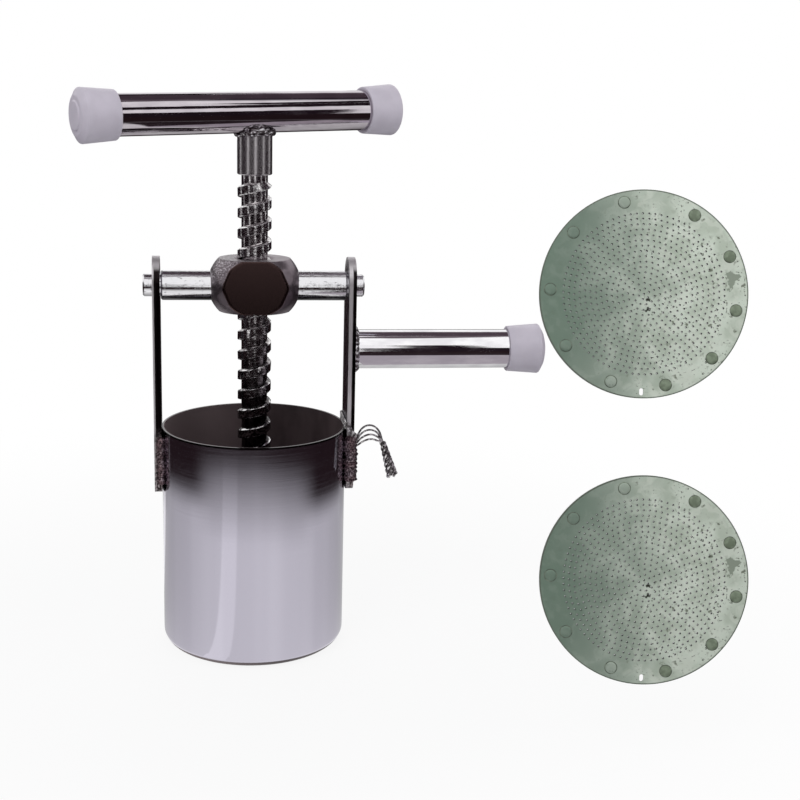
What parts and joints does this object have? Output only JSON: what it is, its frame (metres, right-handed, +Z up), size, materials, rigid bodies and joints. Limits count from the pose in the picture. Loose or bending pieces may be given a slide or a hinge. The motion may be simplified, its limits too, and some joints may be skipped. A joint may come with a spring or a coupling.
{
  "type": "snack press",
  "caption": "Hand-turned screw press for dough: round open barrel, yoke between two side arms, T handle, side handle and loose perforated dies.",
  "frame": {"origin": "centre of the outlet in the barrel's floor, at the plane that the barrel stands on", "axes": "+Z up the screw, +X along the yoke's pivot line towards the side handle, -Y towards the front, where the loose dies are"},
  "size_m": [0.3124, 0.2293, 0.3067],
  "materials": {
    "polished_steel": "polished",
    "arm_steel": "bright",
    "weld_steel": "as welded",
    "block_steel": "polished dark",
    "bar_steel": "turned",
    "screw_steel": "turned, oiled",
    "tube_steel": "polished",
    "cap_plastic": "moulded",
    "wire_steel": "drawn",
    "die_sheet": "stained"
  },
  "bodies": {
    "frame": {"barrel": "polished_steel", "left_arm": "arm_steel", "right_arm": "arm_steel", "arm_welds": "weld_steel", "nut_block": "block_steel", "left_trunnion": "bar_steel", "right_trunnion": "bar_steel", "side_handle_tube": "tube_steel", "side_handle_cap": "cap_plastic", "side_handle_weld": "weld_steel", "tie_wire": "wire_steel"},
    "washer": {"thrust_washer": "bar_steel"},
    "screw": {"power_screw": "screw_steel", "tee_handle_tube": "tube_steel", "tee_handle_cap_left": "cap_plastic", "tee_handle_cap_right": "cap_plastic", "tee_weld": "weld_steel"},
    "plunger": {"plunger_plate": "polished_steel", "plunger_hub": "bar_steel", "retaining_pins": "bar_steel"},
    "upper_die": {"upper_die_plate": "die_sheet", "upper_die_ring": "die_sheet"},
    "lower_die": {"lower_die_plate": "die_sheet", "lower_die_ring": "die_sheet"}
  },
  "joints": [
    {"name": "screw_travel", "type": "slide", "parent": "frame", "child": "washer", "axis": [0, 0, 1], "range_m": [-0.0431, 0.1101]},
    {"name": "screw_turn", "type": "hinge", "parent": "washer", "child": "screw", "pos_m": [0, 0, 0.2], "axis": [0, 0, 1], "range_deg": [-1404, 3600]},
    {"name": "plunger_swivel", "type": "hinge", "parent": "washer", "child": "plunger", "pos_m": [0, 0, 0.06], "axis": [0, 0, 1], "continuous": true},
    {"name": "upper_die_slide", "type": "slide", "parent": "frame", "child": "upper_die", "axis": [0, -1, 0], "range_m": [0, 0.06]},
    {"name": "lower_die_slide", "type": "slide", "parent": "frame", "child": "lower_die", "axis": [0, -1, 0], "range_m": [0, 0.06]}
  ],
  "couplings": [
    {"joint": "screw_travel", "follows": "screw_turn", "m_per_rad": 0.0017507}
  ]
}
